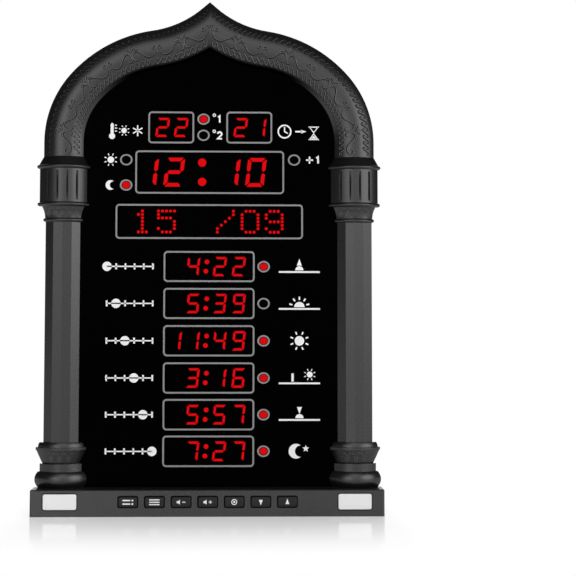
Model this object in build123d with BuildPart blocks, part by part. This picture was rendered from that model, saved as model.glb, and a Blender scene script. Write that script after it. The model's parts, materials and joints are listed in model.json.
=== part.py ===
"""Tabletop and wall azan clock: an ogee arch on two turned half columns and a key base.

Millimetres. +X is the viewer's right, +Z is up and the front faces -Y.
The origin is on the table, in the middle of the clock's footprint.
"""
from build123d import *
from math import atan2, cos, degrees, radians, sin, sqrt
import os

# ---------------------------------------------------------------- driving dimensions
clock_depth = 47.0           # button faces to the back of the rear cover

# base, which carries the keys
base_width = 302.0
base_height = 22.7
base_depth = 19.0            # base front back to the parting line
wall = 2.4                   # moulded wall of every shell
base_corner = 1.6

# glossy front panel
panel_thickness = 2.0
panel_overlap = 6.0          # how far the frame laps over the panel's edge
panel_slack = 0.3            # around the panel's edge

# columns: turned profiles, given by their half widths where they meet the panel
column_setback = 20.0        # turning axis behind the panel's face
shaft_half = 15.2
shaft_height = 191.1
shaft_facets = 4

torus_half, torus_height, torus_seat_half = 22.6, 13.6, 19.6
collar_half, collar_height = 18.2, 6.7
taper_low_half, taper_high_half, taper_height = 15.7, 21.2, 11.8
fillet_ring_half, fillet_ring_height = 21.8, 2.3
ovolo_half, ovolo_height = 19.9, 4.2

neck_ring_half, neck_ring_height = 17.4, 3.5
bell_low_half, bell_high_half, bell_height = 15.8, 18.6, 10.2
lower_bead_half, lower_bead_height = 22.6, 3.5
drum_half, drum_height = 20.7, 29.5
upper_bead_half, upper_bead_height = 23.2, 3.5
cone_height = 7.1
bead_relief = 1.4            # how far a bead stands out from its own root

flute_count = 4
flute_pitch_angle = 17.2
flute_width = 1.9
flute_depth = 1.3
flute_end_gap = 1.9

# arch: shoulder, haunch and reversed arcs, then a short straight to the tip
arch_step = 6.3              # base's end out past the arch's side
tube_width = 34.6
stilt_height = 13.4          # straight rise between the capital and the shoulder arc
shoulder_radius = 91.0
shoulder_angle = 41.0
haunch_angle = 81.4
reverse_radius = 88.0
tip_angle = 49.4
tip_run = 6.5                # half width where the reversed arc turns straight
arch_flange = 7.0            # rim of the arch that meets the rear cover
cavity_top_angle = 18.0      # half angle of the flat top of the cavity inside the tube

# push buttons
button_count = 7
button_pitch = 22.6
button_width, button_height = 17.2, 9.8
button_corner = 1.6
button_edge = 0.9
button_gap = 0.3             # clearance around a button in its opening
button_proud = 1.0
button_travel = 0.8
button_flange = 1.2          # how far the retaining flange laps behind the wall
button_flange_thickness = 1.2

# blank plates at the ends of the base
plate_width, plate_height, plate_thickness = 28.4, 13.2, 1.4
plate_corner = 1.7
plate_gap = 0.8
plate_pocket = 1.2
plate_end_gap = 11.2         # plate in from the base's end

# circuit boards and what they carry
board_thickness = 1.6
main_board_width = 184.0
main_board_low, main_board_high = 32.0, 352.0
display_depth = 6.0
display_gap = 0.3            # between a display's face and the panel
key_board_gap = 0.315        # key board below the inside of the base's top
key_screw_inset = 5.0
key_boss_gap = 2.9           # key board boss past the flange of the end button
switch_size, switch_height = 6.0, 3.4
plunger_radius, plunger_height = 1.7, 1.6
plunger_gap = 0.3            # plunger to a fully pressed button

small_display = (38.0, 26.0)
time_display_size = (128.0, 35.0)
date_display_size = (160.0, 27.0)
row_display_size = (77.0, 25.0)
small_display_x, small_display_z = 34.2, 336.8
time_display_z = 297.1
date_display_z = 253.6
row_count = 6
row_pitch = 32.3
top_row_z = 213.8

led_radius = 2.5
unit_led_x = -6.2
unit_led_z = (344.0, 329.6)
half_day_led_x = -73.4
half_day_led_z = (308.4, 286.0)
summer_led_x = 74.1
row_led_x = 47.7

receiver_size = (6.0, 7.0)
receiver_dome_radius, receiver_dome_height = 2.2, 1.5
receiver_rise = 22.0         # above the main board's lower edge
sensor_size, sensor_height = 4.5, 3.5
sensor_rise = 45.0
sensor_inset = 12.0          # both are this far in from the board's side

# rear cover
cover_inset = 1.5            # rear cover set in from the front mouldings
cover_edge = 2.4             # chamfer around the rear rim
post_radius = 4.0
boss_radius = 3.5
pilot_radius = 1.5
thread_slack = 0.05
case_screw_head = (2.8, 2.0)   # radius and height
case_screw_length = 12.0
screw_end_gap = 0.8          # pilot hole past the end of a case screw
case_screw_grip = 8.0        # rear cover post under the screw head
arch_boss_angle = 62.0       # of the arc that the arch's screws are on
column_boss_inset = 14.0     # from each end of the shaft
base_boss_gap = 7.0          # screw past the key board's end
board_screw_head = (2.6, 1.6)  # radius and height
board_screw_length = 9.0
board_screw_inset = 7.0
screw_hole_slack = 0.2
head_slack = 0.3

keyhole_spacing = 120.0
keyhole_z = 345.0
keyhole_head_radius = 4.5
keyhole_slot_radius = 2.2
keyhole_slot_rise = 9.0

grille_radius = 23.0
grille_slot_width = 2.4
grille_pitch = 5.2
speaker_z = 130.0
speaker_radius = 28.5
speaker_ring_width, speaker_ring_height = 3.0, 3.0
speaker_ear_radius = 3.6
speaker_bolt_radius = 30.5
speaker_bolt_angles = (45.0, 225.0)
speaker_flange = 1.6
speaker_depth = 12.0
magnet_radius, magnet_height = 13.0, 4.6
cone_depth, cone_wall, dust_cap_radius = 4.0, 0.6, 7.0

vent_count = 9
vent_pitch = 7.0
vent_length, vent_width = 26.0, 2.4
vent_z = 385.0

jack_side_gap, jack_z = 33.1, 46.0   # in from the rear cover's side, and up
jack_flange_radius, jack_flange_thickness = 5.6, 1.0
jack_barrel_radius, jack_barrel_length = 4.0, 13.5
jack_bore_radius, jack_bore_depth = 2.85, 9.5
jack_pin_radius, jack_pin_length = 1.0, 8.0
jack_nut_across, jack_nut_thickness = 11.0, 2.0
jack_slack = 0.1

bay_side_gap, bay_z = 81.1, 72.0   # in from the rear cover's other side, and up
bay_width, bay_height = 34.0, 30.0
bay_ledge = 2.6
bay_depth = 8.0
bay_shell = 3.0
door_thickness = 1.7
door_gap = 0.3
door_tab_width, door_tab_drop, door_tab_thickness = 5.0, 1.2, 0.8
door_tab_x = 10.0
door_notch_radius = 4.0
cell_radius, cell_thickness = 10.0, 3.2
holder_radius, holder_height, holder_floor = 12.0, 4.2, 1.0
holder_slack = 0.1

ribbon_width, ribbon_thickness, ribbon_bend = 14.0, 0.9, 3.0
ribbon_stand_off = 5.0       # behind the main board
ribbon_reach = 12.0          # above the main board's lower edge

# ---------------------------------------------------------------- derived places
base_front_y = -clock_depth / 2 + button_proud
parting_y = base_front_y + base_depth
panel_y = parting_y - panel_thickness
back_y = clock_depth / 2
cover_floor_y = back_y - wall
base_half = base_width / 2
arch_half_width = base_half - arch_step
plate_centre_x = base_half - plate_end_gap - plate_width / 2
button_row_half = (button_count - 1) / 2 * button_pitch + button_width / 2 + button_flange
key_screw_x = button_row_half + key_boss_gap + boss_radius
key_board_width = 2 * (key_screw_x + key_screw_inset)
base_boss_x = key_board_width / 2 + base_boss_gap
screw_hole_radius = pilot_radius + screw_hole_slack
column_axis_y = panel_y + column_setback
case_seat_y = parting_y + case_screw_grip
case_pilot_end_y = case_seat_y - case_screw_length - screw_end_gap

foot_height = torus_height + collar_height + taper_height + fillet_ring_height + ovolo_height
shaft_low_z = base_height + foot_height
shaft_high_z = shaft_low_z + shaft_height
bell_z = neck_ring_height + bell_height
drum_low = bell_z + lower_bead_height
drum_high = drum_low + drum_height
cone_low = drum_high + upper_bead_height
capital_height = cone_low + cone_height
column_top_z = shaft_high_z + capital_height
spring_z = column_top_z + stilt_height

tube_half = tube_width / 2
column_centre_x = arch_half_width - tube_half
panel_inset = tube_width - panel_overlap
panel_half = arch_half_width - panel_inset
cover_half = column_centre_x + shaft_half - cover_inset
cover_arch_inset = arch_half_width - cover_half
jack_x = cover_half - jack_side_gap
bay_x = bay_side_gap - cover_half

button_z = base_height * 0.55
key_board_height = 2 * (base_height - wall - key_board_gap - button_z)
display_y = parting_y + display_gap
main_board_y = display_y + display_depth
main_board_rear_y = main_board_y + board_thickness
flange_y = base_front_y + wall + button_gap
flange_rear_y = flange_y + button_flange_thickness
switch_y = flange_rear_y + button_travel + plunger_gap + plunger_height
key_board_y = switch_y + switch_height
key_board_rear_y = key_board_y + board_thickness


def at_depth(y):
    """Plane facing the viewer at depth y: local x is +X and local y is +Z."""
    return Plane.XZ.offset(-y)


def reach(half_width):
    """Turning radius of a column feature that is this half width at the panel."""
    return sqrt(half_width**2 + column_setback**2)


def polar(radius, angle):
    return radius * cos(radians(angle)), radius * sin(radians(angle))


def rows():
    """Heights of the six daily rows, from the top."""
    return [top_row_z - row * row_pitch for row in range(row_count)]


# ---------------------------------------------------------------- the arch's arcs
def haunch_radius():
    """Radius that lets the reversed arc end at the tip's run."""
    shoulder_x = arch_half_width - shoulder_radius + polar(shoulder_radius, shoulder_angle)[0]
    reversed_x = reverse_radius * (cos(radians(haunch_angle)) - cos(radians(tip_angle)))
    spread = cos(radians(shoulder_angle)) - cos(radians(haunch_angle))
    return (shoulder_x + reversed_x - tip_run) / spread


def shifted(point, radius, angle):
    """Point at a radius and angle from another point."""
    across, up = polar(radius, angle)
    return point[0] + across, point[1] + up


def arch_centres():
    """Centres of the shoulder, haunch and reversed arcs of the right half."""
    shoulder = (arch_half_width - shoulder_radius, spring_z)
    haunch = shifted(shoulder, shoulder_radius - haunch_radius(), shoulder_angle)
    reversed_arc = shifted(haunch, haunch_radius() + reverse_radius, haunch_angle)
    return shoulder, haunch, reversed_arc


def ogee_edge(inset, foot_z):
    """Right half of the arch outline, set in from its edge, from foot_z up past the tip."""
    shoulder, haunch, reversed_arc = arch_centres()
    Line((arch_half_width - inset, foot_z), (arch_half_width - inset, spring_z))
    CenterArc(shoulder, shoulder_radius - inset, 0, shoulder_angle)
    CenterArc(haunch, haunch_radius() - inset, shoulder_angle, haunch_angle - shoulder_angle)
    CenterArc(reversed_arc, reverse_radius + inset, 180 + haunch_angle, tip_angle - haunch_angle)
    tip_start = shifted(reversed_arc, -reverse_radius - inset, tip_angle)
    tip_end = shifted(tip_start, tip_run / sin(radians(tip_angle)), tip_angle + 90)
    Line(tip_start, tip_end)
    return tip_end


def arch_point(angle):
    """Point on the tube's centre line, by the angle of the arc that it is on."""
    shoulder, haunch, _ = arch_centres()
    if angle < shoulder_angle:
        return shifted(shoulder, shoulder_radius - tube_half, angle)
    return shifted(haunch, haunch_radius() - tube_half, angle)


def ogee_face(inset, foot_z, mode=Mode.ADD):
    """Whole ogee outline as a face: half of it, trimmed on the centre line and mirrored."""
    with BuildSketch(mode=Mode.PRIVATE) as half:
        with BuildLine():
            tip = ogee_edge(inset, foot_z)
            Polyline(tip, (min(tip[0], 0) - 1, foot_z), (arch_half_width - inset, foot_z))
        make_face()
        split(bisect_by=Plane.YZ)
        mirror(about=Plane.YZ)
    add(half.sketch, mode=mode)


# ---------------------------------------------------------------- screw positions (x, z)
arch_boss_x, arch_boss_z = arch_point(arch_boss_angle)
arch_bosses = [(-arch_boss_x, arch_boss_z), (arch_boss_x, arch_boss_z)]
column_boss_z = (shaft_low_z + column_boss_inset, shaft_high_z - column_boss_inset)
column_bosses = [(side * column_centre_x, z) for z in column_boss_z for side in (-1, 1)]
base_bosses = [(-base_boss_x, base_height / 2), (base_boss_x, base_height / 2)]
case_screw_points = arch_bosses + column_bosses + base_bosses

board_screw_x = main_board_width / 2 - board_screw_inset
board_screw_z = (main_board_low + board_screw_inset, main_board_high - board_screw_inset)
main_board_points = [(side * board_screw_x, z) for z in board_screw_z for side in (-1, 1)]
key_board_points = [(-key_screw_x, button_z), (key_screw_x, button_z)]
speaker_screw_points = [
    shifted((0, speaker_z), speaker_bolt_radius, angle) for angle in speaker_bolt_angles
]
first_button_x = -(button_count - 1) / 2 * button_pitch
button_points = [(first_button_x + i * button_pitch, button_z) for i in range(button_count)]
keyhole_points = [(-keyhole_spacing / 2, keyhole_z), (keyhole_spacing / 2, keyhole_z)]


# ---------------------------------------------------------------- small helpers in builder mode
def discs(points, radius, start_y, end_y, mode=Mode.ADD):
    """Round bars or holes along Y at each point, from start_y to end_y."""
    with BuildSketch(at_depth(start_y)) as rounds:
        with Locations(*points):
            Circle(radius)
    extrude(rounds.sketch, amount=start_y - end_y, mode=mode)


def block(width, height, centre, start_y, end_y, mode=Mode.ADD, corner=0.0):
    """Rectangular bar or pocket along Y, from start_y to end_y."""
    with BuildSketch(at_depth(start_y)) as outline:
        with Locations(centre):
            if corner:
                RectangleRounded(width, height, corner)
            else:
                Rectangle(width, height)
    extrude(outline.sketch, amount=start_y - end_y, mode=mode)


def screws(points, seat_y, head_radius, head_height, length, into):
    """Pan-head screws whose heads seat at seat_y; into is +1 or -1 along Y for the shank."""
    discs(points, pilot_radius - thread_slack, seat_y, seat_y + into * length)
    discs(points, head_radius, seat_y, seat_y - into * head_height)


parts = {}


def finish(name, builder):
    """Label a finished sub-part and keep it for export."""
    builder.part.label = name
    parts[name] = builder.part


# ---------------------------------------------------------------- arch frame
tube_rise = reach(tube_half) - column_setback
cavity_radius = reach(tube_half) - wall
cavity_half = sqrt(cavity_radius**2 - column_setback**2)
cavity_top_half, cavity_top = polar(cavity_radius, cavity_top_angle)[::-1]
tube_origin = (arch_half_width, panel_y, column_top_z)
tube_start = Plane(origin=tube_origin, x_dir=(-1, 0, 0), z_dir=(0, 0, 1))

with BuildPart() as arch_frame:
    with BuildLine(at_depth(panel_y)) as arch_path:
        ogee_edge(0, column_top_z)
    with BuildSketch(tube_start):
        with BuildLine():
            ThreePointArc((0, 0), (tube_half, tube_rise), (tube_width, 0))
            Line((tube_width, 0), (0, 0))
        make_face()
        # the cavity is a trapezium inside the round wall
        with BuildLine():
            Polyline(
                (tube_half - cavity_half, 0),
                (tube_half - cavity_top_half, cavity_top - column_setback),
                (tube_half + cavity_top_half, cavity_top - column_setback),
                (tube_half + cavity_half, 0),
                close=True,
            )
        make_face(mode=Mode.SUBTRACT)
        with Locations((arch_flange / 2, -panel_thickness / 2)):
            Rectangle(arch_flange, panel_thickness)
    sweep(path=arch_path.wires()[0])
    split(bisect_by=Plane.YZ)
    mirror(about=Plane.YZ)
    discs(arch_bosses, boss_radius, parting_y, panel_y - tube_rise + wall / 2)
    discs(arch_bosses, pilot_radius, parting_y, case_pilot_end_y, Mode.SUBTRACT)
finish("arch_frame", arch_frame)


# ---------------------------------------------------------------- columns
def foot_profile():
    """Turned foot, from the base top: torus, collar, inverted taper, fillet ring and ovolo."""
    seat_radius = reach(torus_seat_half)
    torus_crown = (reach(torus_half), torus_height / 2)
    ThreePointArc((seat_radius, 0), torus_crown, (seat_radius, torus_height))
    collar_top = torus_height + collar_height
    taper_top = collar_top + taper_height
    ring_top = taper_top + fillet_ring_height
    Polyline(
        (seat_radius, torus_height),
        (reach(collar_half), torus_height),
        (reach(collar_half), collar_top),
        (reach(taper_low_half), collar_top),
        (reach(taper_high_half), taper_top),
        (reach(fillet_ring_half), taper_top),
        (reach(fillet_ring_half), ring_top),
        (reach(ovolo_half), ring_top),
    )
    ovolo_mid = (reach(ovolo_half) - bead_relief / 4, ring_top + ovolo_height * 0.6)
    ovolo_end = (reach(ovolo_half - bead_relief), foot_height)
    ThreePointArc((reach(ovolo_half), ring_top), ovolo_mid, ovolo_end)
    Polyline(ovolo_end, (0, foot_height), (0, 0), (seat_radius, 0))


def bead(half_width, low, high):
    """Half-round bead between two heights; returns its root radius."""
    root = reach(half_width) - bead_relief
    ThreePointArc((root, low), (reach(half_width), (low + high) / 2), (root, high))
    return root


def capital_profile():
    """Turned capital, from the shaft's top: neck bead, bell, bead, drum, bead and cone."""
    neck_root = bead(neck_ring_half, 0, neck_ring_height)
    bell_foot = (reach(bell_low_half), neck_ring_height)
    bell_top = (reach(bell_high_half), bell_z)
    bell_mid_half = bell_low_half + (bell_high_half - bell_low_half) * 0.3
    bell_mid = (reach(bell_mid_half), neck_ring_height + bell_height * 0.55)
    Line((neck_root, neck_ring_height), bell_foot)
    ThreePointArc(bell_foot, bell_mid, bell_top)
    lower_root = bead(lower_bead_half, bell_z, drum_low)
    Line(bell_top, (lower_root, bell_z))
    upper_root = bead(upper_bead_half, drum_high, cone_low)
    drum_radius = reach(drum_half)
    Polyline(
        (lower_root, drum_low),
        (drum_radius, drum_low),
        (drum_radius, drum_high),
        (upper_root, drum_high),
    )
    Polyline(
        (upper_root, cone_low),
        (reach(tube_half), capital_height),
        (0, capital_height),
        (0, 0),
        (neck_root, 0),
    )


def turning_plane(z):
    """Upright plane through the turning axis: local x points forward and local y up."""
    return Plane(origin=(column_centre_x, column_axis_y, z), x_dir=(0, -1, 0), z_dir=(-1, 0, 0))


turning_axis = Axis((column_centre_x, column_axis_y, 0), (0, 0, 1))
facet_sweep = degrees(atan2(shaft_half, column_setback))
core_radius = reach(shaft_half) * cos(radians(facet_sweep / shaft_facets)) - wall

with BuildPart() as column_right:
    for start_z, profile in ((base_height, foot_profile), (shaft_high_z, capital_profile)):
        with BuildSketch(turning_plane(start_z)):
            with BuildLine():
                profile()
            make_face()
        revolve(axis=turning_axis)
    with BuildSketch(Plane.XY.offset(shaft_low_z)):
        with BuildLine():
            corners = []
            for step in range(shaft_facets + 1):
                angle = facet_sweep * (2 * step / shaft_facets - 1)
                across, forward = polar(reach(shaft_half), angle)[::-1]
                corners.append((column_centre_x + across, column_axis_y - forward))
            Polyline(*corners, close=True)
        make_face()
    extrude(amount=shaft_height)
    split(bisect_by=at_depth(panel_y))
    # flutes of the drum
    drum_middle_z = shaft_high_z + (drum_low + drum_high) / 2
    for flute in range(flute_count):
        angle = radians((flute - (flute_count - 1) / 2) * flute_pitch_angle)
        outward = Vector(sin(angle), -cos(angle), 0)
        centre = Vector(column_centre_x, column_axis_y, drum_middle_z) + outward * reach(drum_half)
        with BuildSketch(Plane(origin=centre, x_dir=(cos(angle), sin(angle), 0), z_dir=outward)):
            SlotOverall(drum_height - 2 * flute_end_gap, flute_width, rotation=90)
        extrude(amount=-flute_depth, mode=Mode.SUBTRACT)
    # rim beside the panel's edge, down to the parting line; the rebate opens into the core
    extrude(column_right.faces().sort_by(Axis.Y)[-1], amount=panel_thickness)
    core_half = sqrt(core_radius**2 - column_setback**2)
    pocket_half = max(panel_half + panel_slack, column_centre_x - core_half)
    with BuildSketch(at_depth(parting_y)):
        with Locations((0, (base_height + column_top_z) / 2)):
            Rectangle(2 * pocket_half, column_top_z)
    extrude(amount=panel_thickness, mode=Mode.SUBTRACT)
    # hollow core, closed at both ends, with two screw bosses
    with BuildSketch(Plane.XY.offset(base_height + wall)):
        with Locations((column_centre_x, column_axis_y)):
            Circle(core_radius)
    extrude(amount=column_top_z - base_height - 2 * wall, mode=Mode.SUBTRACT)
    boss_points = [(column_centre_x, z) for z in column_boss_z]
    core_front_y = column_axis_y - core_radius
    discs(boss_points, boss_radius, parting_y, core_front_y - wall / 2)
    discs(boss_points, pilot_radius, parting_y, case_pilot_end_y, Mode.SUBTRACT)
finish("column_right", column_right)

with BuildPart() as column_left:
    mirror(column_right.part, about=Plane.YZ)
finish("column_left", column_left)


# ---------------------------------------------------------------- base housing
with BuildPart() as base_housing:
    with BuildSketch(Plane.XY):
        with Locations((0, (base_front_y + parting_y) / 2)):
            Rectangle(base_width, base_depth)
    extrude(amount=base_height)
    front_corners = base_housing.edges().filter_by(Axis.Z).group_by(Axis.Y)[0]
    fillet(front_corners, base_corner)
    top_edge = base_housing.faces().sort_by(Axis.Z)[-1].edges().sort_by(Axis.Y)[0]
    chamfer(top_edge, base_corner / 2)
    inner_front_y = base_front_y + wall
    inner_size = (base_width - 2 * wall, base_height - 2 * wall)
    block(*inner_size, (0, base_height / 2), parting_y, inner_front_y, Mode.SUBTRACT)
    opening = (button_width + 2 * button_gap, button_height + 2 * button_gap)
    with BuildSketch(at_depth(base_front_y)):
        with Locations(*button_points):
            RectangleRounded(*opening, button_corner + button_gap)
    extrude(amount=-wall, mode=Mode.SUBTRACT)
    pocket = (plate_width + 2 * plate_gap, plate_height + 2 * plate_gap)
    with BuildSketch(at_depth(base_front_y)):
        with Locations((-plate_centre_x, button_z), (plate_centre_x, button_z)):
            RectangleRounded(*pocket, plate_corner + plate_gap)
    extrude(amount=-plate_pocket, mode=Mode.SUBTRACT)
    discs(base_bosses, boss_radius, parting_y, inner_front_y - wall / 4)
    discs(base_bosses, pilot_radius, parting_y, case_pilot_end_y, Mode.SUBTRACT)
    discs(key_board_points, boss_radius, key_board_y, inner_front_y - wall / 4)
    discs(key_board_points, pilot_radius, key_board_y, inner_front_y, Mode.SUBTRACT)
finish("base_housing", base_housing)

for name, side in (("left", -1), ("right", 1)):
    with BuildPart() as plate:
        floor_y = base_front_y + plate_pocket
        plate_centre = (side * plate_centre_x, button_z)
        face_y = floor_y - plate_thickness
        block(plate_width, plate_height, plate_centre, floor_y, face_y, corner=plate_corner)
        chamfer(plate.faces().sort_by(Axis.Y)[0].edges(), plate_thickness / 5)
    finish(f"blank_plate_{name}", plate)


# ---------------------------------------------------------------- front panel
with BuildPart() as front_panel:
    with BuildSketch(at_depth(parting_y)):
        ogee_face(panel_inset, base_height)
    extrude(amount=panel_thickness)
finish("front_panel", front_panel)


# ---------------------------------------------------------------- push buttons
button_face_y = base_front_y - button_proud
flange_size = (button_width + 2 * button_flange, button_height + 2 * button_flange)
for number, centre in enumerate(button_points, start=1):
    with BuildPart() as button:
        block(button_width, button_height, centre, flange_y, button_face_y, corner=button_corner)
        chamfer(button.faces().sort_by(Axis.Y)[0].edges(), button_edge)
        block(*flange_size, centre, flange_y, flange_rear_y)
    finish(f"button_{number}", button)


# ---------------------------------------------------------------- key board behind the buttons
with BuildPart() as key_board:
    block(key_board_width, key_board_height, (0, button_z), key_board_y, key_board_rear_y)
    discs(key_board_points, screw_hole_radius, key_board_y, key_board_rear_y, Mode.SUBTRACT)
finish("key_board", key_board)

with BuildPart() as tact_switches:
    with BuildSketch(at_depth(key_board_y)):
        with Locations(*button_points):
            Rectangle(switch_size, switch_size)
    extrude(amount=switch_height)
    discs(button_points, plunger_radius, switch_y, switch_y - plunger_height)
finish("tact_switches", tact_switches)

with BuildPart() as key_board_screws:
    key_screw_length = key_board_rear_y - base_front_y - 2 * wall
    screws(key_board_points, key_board_rear_y, *board_screw_head, key_screw_length, -1)
finish("key_board_screws", key_board_screws)


# ---------------------------------------------------------------- main board and displays
board_middle_z = (main_board_low + main_board_high) / 2
with BuildPart() as main_board:
    board_size = (main_board_width, main_board_high - main_board_low)
    block(*board_size, (0, board_middle_z), main_board_y, main_board_rear_y)
    discs(main_board_points, screw_hole_radius, main_board_y, main_board_rear_y, Mode.SUBTRACT)
finish("main_board", main_board)


def display_module(name, size, centre):
    """Potted light box whose face lies just behind the panel."""
    with BuildPart() as module:
        block(*size, centre, main_board_y, display_y)
    finish(name, module)


display_module("temperature_display", small_display, (-small_display_x, small_display_z))
display_module("countdown_display", small_display, (small_display_x, small_display_z))
display_module("time_display", time_display_size, (0, time_display_z))
display_module("date_display", date_display_size, (0, date_display_z))
for number, row_z in enumerate(rows(), start=1):
    display_module(f"row_display_{number}", row_display_size, (0, row_z))

led_points = [(unit_led_x, z) for z in unit_led_z]
led_points += [(half_day_led_x, z) for z in half_day_led_z]
led_points += [(summer_led_x, half_day_led_z[0])]
led_points += [(row_led_x, z) for z in rows()]
with BuildPart() as indicator_leds:
    discs(led_points, led_radius, main_board_y, display_y)
finish("indicator_leds", indicator_leds)

with BuildPart() as ir_receiver:
    receiver_centre = (main_board_width / 2 - sensor_inset, main_board_low + receiver_rise)
    receiver_face_y = display_y + receiver_dome_height
    block(*receiver_size, receiver_centre, main_board_y, receiver_face_y)
    discs([receiver_centre], receiver_dome_radius, receiver_face_y, display_y)
finish("ir_receiver", ir_receiver)

with BuildPart() as temperature_sensor:
    sensor_centre = (main_board_width / 2 - sensor_inset, main_board_low + sensor_rise)
    sensor_rear_y = main_board_rear_y + sensor_height
    block(sensor_size, sensor_size, sensor_centre, main_board_rear_y, sensor_rear_y)
finish("temperature_sensor", temperature_sensor)

with BuildPart() as board_screws:
    screws(main_board_points, main_board_y, *board_screw_head, board_screw_length, 1)
finish("board_screws", board_screws)


# ---------------------------------------------------------------- rear cover
def cover_outline(inset):
    """Rear cover outline: wide at the base, narrower behind the columns and arch."""
    base_side = base_half - cover_inset - inset
    step_z = base_height - cover_inset - inset
    with BuildSketch(mode=Mode.PRIVATE) as whole:
        ogee_face(cover_arch_inset + inset, inset)
        with Locations((0, (inset + step_z) / 2)):
            Rectangle(2 * base_side, step_z - inset)
    add(whole.sketch)


with BuildPart() as back_cover:
    with BuildSketch(at_depth(parting_y)):
        cover_outline(0)
    extrude(amount=parting_y - back_y)
    rear_rim = back_cover.faces().sort_by(Axis.Y)[-1].edges().sort_by(Axis.Z)[1:]
    chamfer(rear_rim, cover_edge)
    with BuildSketch(at_depth(parting_y)):
        cover_outline(wall)
    extrude(amount=parting_y - cover_floor_y, mode=Mode.SUBTRACT)
    # posts for the case screws, counterbored from behind
    discs(case_screw_points, post_radius, parting_y, cover_floor_y + wall / 2)
    counterbore_radius = case_screw_head[0] + head_slack
    discs(case_screw_points, counterbore_radius, back_y, case_seat_y, Mode.SUBTRACT)
    discs(case_screw_points, screw_hole_radius, case_seat_y, parting_y, Mode.SUBTRACT)
    # posts for the main board
    discs(main_board_points, boss_radius, main_board_rear_y, cover_floor_y + wall / 2)
    board_screw_end_y = main_board_y + board_screw_length
    discs(main_board_points, pilot_radius, main_board_rear_y, board_screw_end_y, Mode.SUBTRACT)
    # speaker seat: a ring and two small bosses
    speaker_centre = (0, speaker_z)
    speaker_seat_y = cover_floor_y - speaker_ring_height
    surround_radius = speaker_radius - speaker_ring_width
    discs([speaker_centre], speaker_radius, speaker_seat_y, cover_floor_y + wall / 2)
    discs([speaker_centre], surround_radius, speaker_seat_y, cover_floor_y, Mode.SUBTRACT)
    discs(speaker_screw_points, speaker_ear_radius, speaker_seat_y, cover_floor_y + wall / 2)
    speaker_pilot_end_y = cover_floor_y + wall / 2
    discs(speaker_screw_points, pilot_radius, speaker_seat_y, speaker_pilot_end_y, Mode.SUBTRACT)
    # speaker grille
    with BuildSketch(at_depth(back_y)):
        slots_each_side = int((grille_radius - grille_slot_width) / grille_pitch)
        for slot in range(-slots_each_side, slots_each_side + 1):
            slot_x = slot * grille_pitch
            with Locations((slot_x, speaker_z)):
                Rectangle(grille_slot_width, 2 * sqrt(grille_radius**2 - slot_x**2))
        # vents near the top
        with Locations((0, vent_z)):
            with GridLocations(vent_pitch, 1, vent_count, 1):
                Rectangle(vent_width, vent_length)
        # keyholes: a round entry with a narrow slot rising from it
        for x, z in keyhole_points:
            with Locations((x, z)):
                Circle(keyhole_head_radius)
            with Locations((x, z + keyhole_slot_rise / 2)):
                slot_length = keyhole_slot_rise + 2 * keyhole_slot_radius
                SlotOverall(slot_length, 2 * keyhole_slot_radius, rotation=90)
    extrude(amount=wall, mode=Mode.SUBTRACT)
    # power inlet hole and its recess
    jack_centre = (jack_x, jack_z)
    discs([jack_centre], jack_barrel_radius + jack_slack, back_y, cover_floor_y, Mode.SUBTRACT)
    jack_recess_y = back_y - jack_flange_thickness
    discs([jack_centre], jack_flange_radius + jack_slack, back_y, jack_recess_y, Mode.SUBTRACT)
    # battery bay: a boxed recess with a ledge for the door and pockets for its tabs
    bay_centre = (bay_x, bay_z)
    ledge_y = back_y - door_thickness - door_gap
    bay_floor_y = ledge_y + door_gap - bay_depth
    bay_outside = (bay_width + 2 * bay_shell, bay_height + 2 * bay_shell)
    door_opening = (bay_width + 2 * door_gap, bay_height + 2 * door_gap)
    bay_inside = (bay_width - 2 * bay_ledge, bay_height - 2 * bay_ledge)
    block(*bay_outside, bay_centre, bay_floor_y - wall, cover_floor_y + wall / 2)
    block(*door_opening, bay_centre, back_y, ledge_y, Mode.SUBTRACT)
    block(*bay_inside, bay_centre, back_y, bay_floor_y, Mode.SUBTRACT)
    hinge_z = bay_z - bay_height / 2
    tab_rear_y = back_y - door_thickness + door_tab_thickness
    for side in (-1, 1):
        pocket_centre = (bay_x + side * door_tab_x, hinge_z)
        pocket_size = (door_tab_width + 2 * door_gap, 2 * (door_tab_drop + door_gap))
        block(*pocket_size, pocket_centre, tab_rear_y + door_gap, ledge_y - door_gap, Mode.SUBTRACT)
    notch_centre = (bay_x, bay_z + door_opening[1] / 2)
    discs([notch_centre], door_notch_radius, back_y, ledge_y + door_gap, Mode.SUBTRACT)
finish("back_cover", back_cover)

with BuildPart() as battery_door:
    block(bay_width, bay_height, bay_centre, back_y, back_y - door_thickness)
    for side in (-1, 1):
        tab_centre = (bay_x + side * door_tab_x, hinge_z - door_tab_drop / 2)
        block(door_tab_width, door_tab_drop, tab_centre, tab_rear_y, back_y - door_thickness)
finish("battery_door", battery_door)

with BuildPart() as cell_holder:
    holder_rim_y = bay_floor_y + holder_height
    cell_seat_y = bay_floor_y + holder_floor
    discs([bay_centre], holder_radius, bay_floor_y, holder_rim_y)
    discs([bay_centre], cell_radius + holder_slack, cell_seat_y, holder_rim_y, Mode.SUBTRACT)
finish("cell_holder", cell_holder)

with BuildPart() as coin_cell:
    discs([bay_centre], cell_radius, cell_seat_y, cell_seat_y + cell_thickness)
    chamfer(coin_cell.faces().sort_by(Axis.Y)[-1].edges(), cell_thickness / 5)
finish("coin_cell", coin_cell)


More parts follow.
